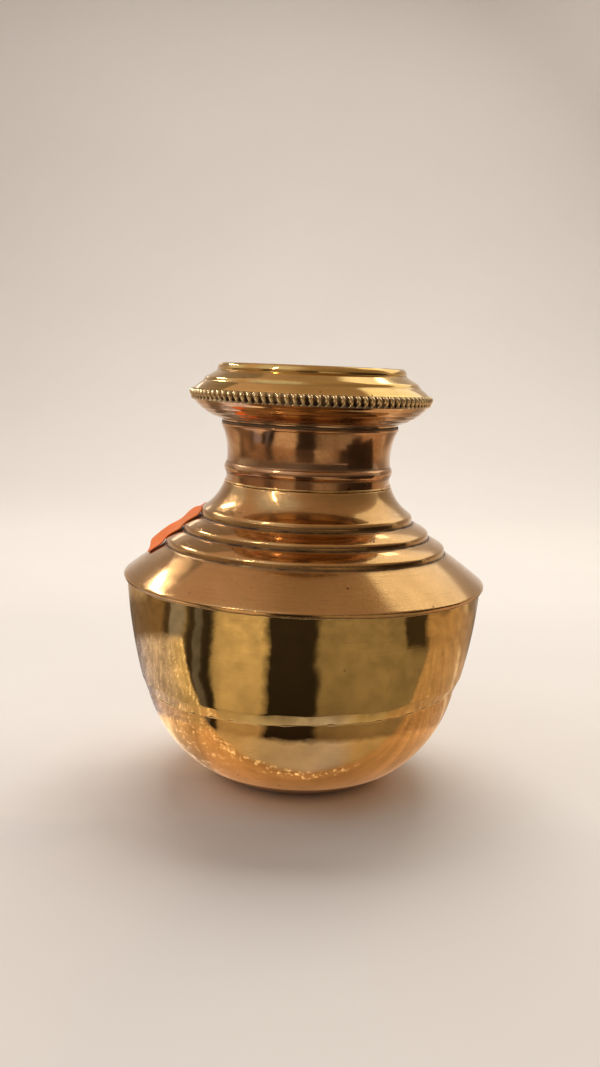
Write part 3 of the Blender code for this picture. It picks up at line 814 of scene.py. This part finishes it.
def facingPot(azimuth, elevation, reach):  # azimuth from the camera's side, to the right
    azimuth, elevation = math.radians(azimuth), math.radians(elevation)
    flat = math.cos(elevation) * reach
    away = Vector((math.sin(azimuth) * flat, -math.cos(azimuth) * flat, math.sin(elevation) * reach))
    return Matrix.Translation(middle + away) @ (-away).to_track_quat("-Z", "Y").to_matrix().to_4x4()


def lamp(name, azimuth, elevation, reach, wide, tall, level, colour, lean=0.0, mirrored=True, lights=True):
    light = bpy.data.lights.new(name, "AREA")
    light.shape = "RECTANGLE"
    light.size, light.size_y = wide, tall
    light.energy = level * math.pi * wide * tall  # level is the brightness of the lamp's face
    light.color = colour
    item = bpy.data.objects.new(name, light)
    item.matrix_world = facingPot(azimuth, elevation, reach) @ Matrix.Rotation(math.radians(lean), 4, "Z")
    item.visible_camera = False
    item.visible_glossy = mirrored
    item.visible_diffuse = lights
    bpy.context.scene.collection.objects.link(item)


warm, cool, fresh, mild = (1.0, 0.93, 0.84), (0.97, 0.97, 1.0), (0.95, 1.0, 1.12), (1.0, 0.97, 0.88)
lamp("tubeLeft", -128, 33, 1.3, 0.38, 0.028, 80.0, warm, 20, lights=False)
lamp("tubeFront", -50, 40, 1.3, 0.03, 0.40, 40.0, warm, lights=False)
lamp("lampBackRight", 152, 43, 1.3, 0.10, 0.12, 4.0, warm)
lamp("lampBackLeft", -157, 16, 1.3, 0.16, 0.06, 2.5, warm, lights=False)
lamp("panelBack", 180, 62, 1.45, 1.20, 0.95, 4.7, (1.0, 0.97, 0.93), mirrored=False)


def softPanel(name, azimuth, elevation, reach, wide, tall, level, colour, full=0.22):  # fades to its edges
    look, tree, shader = newLook(name)
    spot = spotOf(tree)
    parts = parted(tree, spot)
    fade = None
    for part, size in (("X", wide), ("Y", tall)):
        inwards = remap(tree, calc(tree, "ABSOLUTE", parts[part]), size / 2, size * full)
        fade = inwards if fade is None else times(tree, fade, inwards)
    cloudy = remap(tree, noiseAt(tree, spot, 5.0, 3.0), 0.3, 0.7)
    dimmer = (*(part * 0.75 for part in colour), 1.0)
    tree.links.new(tint(tree, cloudy, dimmer, (*colour, 1.0)), shader["Emission Color"])
    tree.links.new(fade, shader["Alpha"])
    shader["Base Color"].default_value = (0.0, 0.0, 0.0, 1.0)
    shader["Emission Strength"].default_value = level
    corners = [(x * wide / 2, y * tall / 2, 0) for x, y in ((-1, -1), (1, -1), (1, 1), (-1, 1))]
    item = newObject(name, corners, [(0, 1, 2, 3)], look)
    item.matrix_world = facingPot(azimuth, elevation, reach)
    item.visible_camera = item.visible_shadow = False


softPanel("panelFront", -52, 50, 1.35, 1.40, 1.25, 0.80, fresh)
softPanel("panelLeft", -112, 27, 1.4, 0.90, 0.90, 0.85, cool)
softPanel("panelRight", 132, 43, 1.4, 1.05, 1.10, 1.6, mild, 0.41)

# pale floor that sweeps up behind the pot

sweep = dict(side=3.2, front=-3.0, bend=0.9, round=0.6, top=2.2, steps=16)
floorLook, floorTree, floorShader = newLook("paleFloor")
floorNoise = noiseAt(floorTree, spotOf(floorTree), 5.0, 5.0)
floorTone = tint(floorTree, floorNoise, (0.80, 0.77, 0.73, 1.0), (0.84, 0.815, 0.775, 1.0))
floorTree.links.new(floorTone, floorShader["Base Color"])
floorShader["Roughness"].default_value = 0.8
sweepLine = [(sweep["front"], 0.0), (sweep["bend"], 0.0)]
for angle in np.linspace(0.1, math.pi / 2, sweep["steps"]):
    back = sweep["bend"] + sweep["round"] * math.sin(angle)
    sweepLine.append((back, sweep["round"] * (1 - math.cos(angle))))
sweepLine.append((sweep["bend"] + sweep["round"], sweep["top"]))
floorVerts = [(side, y, z) for side in (-sweep["side"], sweep["side"]) for y, z in sweepLine]
count = len(sweepLine)
floorFaces = [(count + i, count + i + 1, i + 1, i) for i in range(count - 1)]
floor = newObject("paleFloor", floorVerts, floorFaces, floorLook)
floor.data.shade_smooth()

# ground that only the polished metal sees, glowing though it is no lamp: painted reflections of a board under
# the pot, of darker and paler bands before it, and painted glints
# a band's stops are degrees from the camera's side, level and tone

ground = dict(inner=0.045, near=0.100, nearEnd=0.110, upper=0.235, upperEnd=0.262, mid=0.36, midEnd=0.42,
              far=0.64, farEnd=0.90, edge=2.4, height=0.0008, steps=72, wander=0.024, edgeWander=0.015,
              glow=0.24, innerGlow=2.4, boardFront=0.068, boardSkew=0.06, boardSoft=0.003, trim=0.004,
              glint=6.0)
dark, pale, cream = (0.012, 0.010, 0.009), (0.80, 0.77, 0.74), (0.86, 0.74, 0.55)
wood, slate, frost = (0.86, 0.60, 0.38), (0.66, 0.69, 0.92), (0.96, 0.87, 0.98)
closeBoard = ((-180, 0.60, wood), (-100, 1.00, cream), (-60, 1.00, wood), (10, 0.74, wood), (40, 0.76, wood),
              (100, 0.75, wood), (180, 0.60, wood))
openBoard = ((-180, 0.70, pale), (-160, 0.24, pale), (-146, 0.20, wood), (-128, 0.26, frost),
             (-112, 0.52, frost), (-96, 0.56, frost), (-84, 0.58, frost), (-70, 0.86, cream),
             (-45, 0.95, wood), (60, 0.64, wood), (112, 0.60, wood), (116, 1.00, cream), (120, 0.58, wood),
             (136, 0.55, wood), (152, 0.10, wood), (180, 0.70, pale))
innerBands = ((-180, 0.60, cream), (-70, 0.75, cream), (-35, 0.90, cream), (-20, 0.90, pale),
              (20, 0.95, slate), (32, 0.70, cream), (60, 0.60, cream), (180, 0.60, cream))
leftDark = ((-67, 0.02, wood), (-63, 0.03, wood), (-62, 0.20, slate), (-57, 0.16, slate), (-56, 0.01, wood),
            (-51, 0.01, wood))
frontDark = ((-17, 0.01, wood), (8, 0.01, wood), (11, 0.36, cream))
nearBands = ((-180, 0.45, cream), (-70, 0.45, cream), *leftDark, (-48, 0.66, cream), (-42, 0.86, cream),
             (-21, 0.84, cream), *frontDark, (36, 0.40, cream), (75, 0.28, cream), (180, 0.28, cream))
upperBands = ((-180, 0.50, pale), (-150, 0.10, wood), (-128, 0.18, wood), (-90, 0.24, wood),
              (-86, 0.06, wood), (-83, 0.06, wood), (-81, 0.42, slate), (-71, 0.46, slate),
              (-69, 0.30, cream), *leftDark, (-48, 0.62, cream), (-42, 0.84, cream), (-21, 0.82, cream),
              *frontDark, (36, 0.38, cream), (59, 0.30, cream), (61, 0.03, wood), (75, 0.03, wood),
              (79, 0.55, wood), (110, 0.55, wood), (130, 0.40, wood), (154, 0.08, wood), (180, 0.50, pale))
midBands = ((-180, 0.56, pale), (-130, 0.42, wood), (-113, 0.70, cream), (-105, 0.10, wood),
            (-95, 0.42, wood), (-85, 0.14, wood), (-70, 0.45, wood), (-62, 0.39, wood), (-60, 0.05, wood),
            (-52, 0.05, wood), (-48, 0.48, wood), (-30, 0.59, wood), (-21, 0.50, wood), (-17, 0.08, wood),
            (6, 0.06, wood), (9, 0.70, cream), (24, 0.59, cream), (36, 0.35, wood), (46, 0.03, wood),
            (96, 0.03, wood), (102, 0.77, wood), (112, 0.42, wood), (120, 0.80, cream), (126, 0.20, wood),
            (180, 0.56, pale))
farBands = ((-180, 0.56, pale), (-113, 0.63, cream), (-104, 0.12, wood), (-85, 0.39, wood), (-62, 0.45, wood),
            (-58, 0.08, wood), (-50, 0.08, wood), (-46, 0.50, wood), (-20, 0.56, cream), (-15, 0.14, wood),
            (5, 0.10, wood), (10, 0.59, cream), (30, 0.48, cream), (46, 0.05, wood), (96, 0.05, wood),
            (102, 0.56, wood), (120, 0.70, cream), (180, 0.56, pale))


def makeGroundLook():
    look, tree, shader = newLook("paintedReflectionBands")
    spot = spotOf(tree)
    parts = parted(tree, spot)
    forward = times(tree, parts["Y"], -1.0)
    turned = remap(tree, calc(tree, "ARCTAN2", parts["X"], forward), -math.pi, math.pi)
    for scale, share in ((9.0, 1.0), (60.0, 0.45)):
        centred = minus(tree, noiseAt(tree, spot, scale, 2.0), 0.5)
        turned = plus(tree, turned, times(tree, centred, ground["wander"] * share))
    reach = fromAxis(tree, parts)[1]
    bend = times(tree, remap(tree, reach, 0.175, 0.105, 0.0, 0.028), remap(tree, turned, 0.40, 0.36))
    turned = minus(tree, turned, bend)  # the bands at the left swing inwards close to the pot
    edgeShift = times(tree, minus(tree, noiseAt(tree, spot, 60.0, 3.0), 0.5), ground["edgeWander"])
    unevenReach = plus(tree, reach, edgeShift)

    def bandColours(bands):
        ramp = wire(tree, "ShaderNodeValToRGB", {"Fac": turned})
        stops = ramp.color_ramp.elements
        while len(stops) < len(bands):
            stops.new(0.5)
        for stop, (azimuth, level, tone) in zip(list(stops), bands):
            stop.position = (azimuth + 180) / 360
        for stop, (azimuth, level, tone) in zip(stops, bands):
            stop.color = (*(low + (high - low) * level for low, high in zip(dark, tone)), 1.0)
        return ramp.outputs["Color"]

    def beyond(start, under, bands):
        outside = remap(tree, unevenReach, ground[start], ground[start + "End"])
        return tint(tree, outside, under, bandColours(bands))

    def withinBoard(toHigh):  # the board fades out where the upper bands start
        return remap(tree, unevenReach, ground["upperEnd"], ground["upper"], 0.0, toHigh)

    def paintedGlints(number, low, high, where):  # ragged bright points: painted glints
        noise = noiseAt(tree, spot, number, 4.0, Roughness=0.7)
        return times(tree, remap(tree, noise, low, high), where)

    grainInputs = {"Vector": spot, "Scale": (6.0, 110.0, 1.0)}
    alongGrain = wire(tree, "ShaderNodeMapping", grainInputs).outputs[0]
    veins = remap(tree, noiseAt(tree, alongGrain, 1.0, 3.0), 0.3, 0.7, 0.80, 1.12)
    board = scaled(tree, beyond("near", bandColours(closeBoard), openBoard), veins)
    ahead = plus(tree, forward, times(tree, parts["X"], ground["boardSkew"]))
    ahead = plus(tree, ahead, times(tree, edgeShift, 0.5))
    onBoard = remap(tree, ahead, ground["boardFront"] + ground["boardSoft"],
                    ground["boardFront"] - ground["boardSoft"])
    shade = tint(tree, onBoard, beyond("near", bandColours(innerBands), nearBands), board)
    for start, bands in (("upper", upperBands), ("mid", midBands), ("far", farBands)):
        shade = beyond(start, shade, bands)
    mottling = remap(tree, noiseAt(tree, spot, 28.0, 5.0), 0.3, 0.7, 0.78, 1.15)
    crumple = remap(tree, noiseAt(tree, spot, 21.0, 4.0, Distortion=0.5), 0.36, 0.70, -0.25, 0.50)
    atLeft = times(tree, remap(tree, turned, 0.325, 0.305), remap(tree, turned, 0.08, 0.14))
    atLeft = times(tree, times(tree, atLeft, onBoard), withinBoard(1.0))
    mottled = scaled(tree, scaled(tree, shade, mottling), plus(tree, times(tree, crumple, atLeft), 1.0))
    # painted light: the ground glows brighter close to the pot, where the pot's shadow falls on the floor
    closeBy = remap(tree, unevenReach, ground["near"], ground["nearEnd"], ground["innerGlow"], 1.0)
    sides = calc(tree, "MAXIMUM", remap(tree, parts["X"], -0.03, -0.06, 0.0, 0.9),
                 remap(tree, parts["X"], 0.07, 0.10, 0.0, 0.3))
    fromTrim = calc(tree, "ABSOLUTE", minus(tree, ahead, ground["boardFront"] - ground["trim"]))
    trim = times(tree, remap(tree, fromTrim, 0.006, 0.002), remap(tree, parts["X"], 0.045, 0.015))
    scattered = paintedGlints(200.0, 0.55, 0.70, times(tree, sides, onBoard))
    glint = calc(tree, "MAXIMUM", scattered, paintedGlints(210.0, 0.53, 0.66, trim))
    sparks = scaled(tree, (1.0, 0.93, 0.84), times(tree, glint, withinBoard(ground["glint"])))
    inputs = {0: scaled(tree, mottled, closeBy), 1: sparks}
    glowing = wire(tree, "ShaderNodeVectorMath", inputs, operation="ADD").outputs[0]
    tree.links.new(mottled, shader["Base Color"])
    tree.links.new(glowing, shader["Emission Color"])
    shader["Emission Strength"].default_value = ground["glow"]
    shader["Roughness"].default_value = 0.9
    return look


def metalOnly(item):  # neither seen nor lighting anything but by reflection
    item.visible_camera = item.visible_diffuse = item.visible_shadow = False


groundVerts, groundFaces = [], []
for step in range(ground["steps"]):
    turn = math.tau * step / ground["steps"]
    for reach in (ground["inner"], ground["edge"]):
        groundVerts.append((math.cos(turn) * reach, math.sin(turn) * reach, ground["height"]))
    following = (step + 1) % ground["steps"]
    groundFaces.append((2 * step, 2 * step + 1, 2 * following + 1, 2 * following))
metalOnly(newObject("paintedReflectionBands", groundVerts, groundFaces, makeGroundLook()))

# dark card at the right, seen only by the metal: a painted dark reflection on the neck

darkCard = dict(start=50, end=93, steps=12, away=0.22, foot=0.056, head=0.175)
darkCardLook, darkCardTree, darkCardShader = newLook("darkReflectionCard")
cardMottle = remap(darkCardTree, noiseAt(darkCardTree, spotOf(darkCardTree), 40.0, 3.0), 0.4, 0.7)
darkCardTone = tint(darkCardTree, cardMottle, (0.014, 0.011, 0.010, 1.0), (0.05, 0.032, 0.02, 1.0))
darkCardTree.links.new(darkCardTone, darkCardShader["Base Color"])
darkCardVerts, darkCardFaces = [], []
for step in range(darkCard["steps"] + 1):
    turn = math.radians(darkCard["start"] + (darkCard["end"] - darkCard["start"]) * step / darkCard["steps"])
    for height in (darkCard["foot"], darkCard["head"]):
        darkCardVerts.append((math.sin(turn) * darkCard["away"], -math.cos(turn) * darkCard["away"], height))
    if step:
        darkCardFaces.append((2 * step - 2, 2 * step, 2 * step + 1, 2 * step - 1))
metalOnly(newObject("darkReflectionCard", darkCardVerts, darkCardFaces, darkCardLook))

# studio sky: brighter behind the pot, darker before it, with one bright corner at the front left

world = bpy.data.worlds.new("studio")
bpy.context.scene.world = world
world.use_nodes = True
sky = world.node_tree
skyParts = parted(sky, sky.nodes.new("ShaderNodeTexCoord").outputs["Generated"])
sideways, backward, upward = skyParts["X"], skyParts["Y"], skyParts["Z"]
leftFront = minus(sky, times(sky, sideways, -0.64), times(sky, backward, 0.77))
leftFront = times(sky, remap(sky, leftFront, 0.74, 0.90), remap(sky, upward, 0.22, 0.36))
rightFront = minus(sky, times(sky, sideways, 0.75), times(sky, backward, 0.66))
low = tint(sky, remap(sky, backward, -0.35, 0.6), (0.20, 0.17, 0.15, 1.0), (0.80, 0.77, 0.73, 1.0))
low = tint(sky, leftFront, low, (0.90, 0.86, 0.84, 1.0))
low = tint(sky, remap(sky, rightFront, 0.45, 0.85), low, (0.075, 0.062, 0.054, 1.0))
high = tint(sky, remap(sky, sideways, -0.08, -0.35), (0.41, 0.30, 0.225, 1.0), (0.62, 0.46, 0.39, 1.0))
high = tint(sky, remap(sky, rightFront, 0.35, 0.75), high, (0.27, 0.20, 0.14, 1.0))
sky.links.new(tint(sky, remap(sky, upward, 0.12, 0.6), low, high), sky.nodes["Background"].inputs["Color"])
bpy.context.scene.view_settings.view_transform = "Standard"
print("stage ready")
